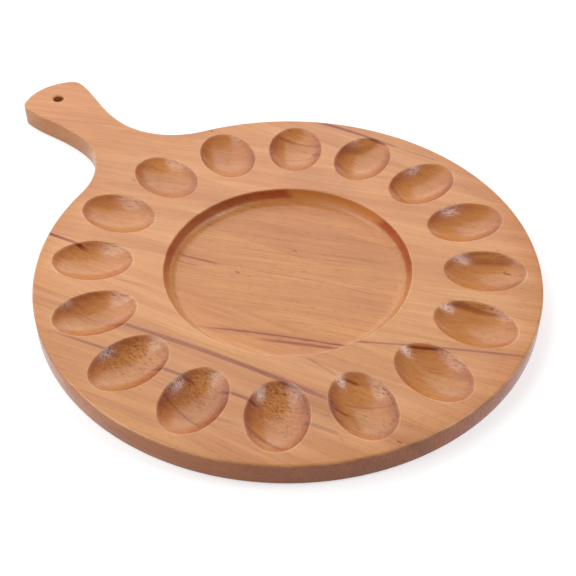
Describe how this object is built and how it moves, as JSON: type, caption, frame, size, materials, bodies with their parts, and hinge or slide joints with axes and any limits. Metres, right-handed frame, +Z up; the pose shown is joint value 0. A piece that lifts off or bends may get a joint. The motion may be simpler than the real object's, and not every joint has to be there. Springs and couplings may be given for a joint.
{
  "type": "egg serving board",
  "caption": "Round wooden serving board of glued staves, with a ring of egg hollows, a coved middle recess and a flared paddle handle with a hanging hole.",
  "frame": {"origin": "middle of the round part, on the underside that the board rests on", "axes": "+Y along the handle, away from the round; +Z up, out of the face with the hollows; +X to the right"},
  "size_m": [0.38, 0.519, 0.0184],
  "materials": {
    "lacquered_wood": "clear satin lacquer over honey-brown wood with darker streaks"
  },
  "bodies": {
    "root": {"left_rim_stave": "lacquered_wood", "left_stave": "lacquered_wood", "centre_left_stave": "lacquered_wood", "centre_right_stave": "lacquered_wood", "handle_stave": "lacquered_wood", "right_rim_stave": "lacquered_wood"}
  },
  "joints": []
}
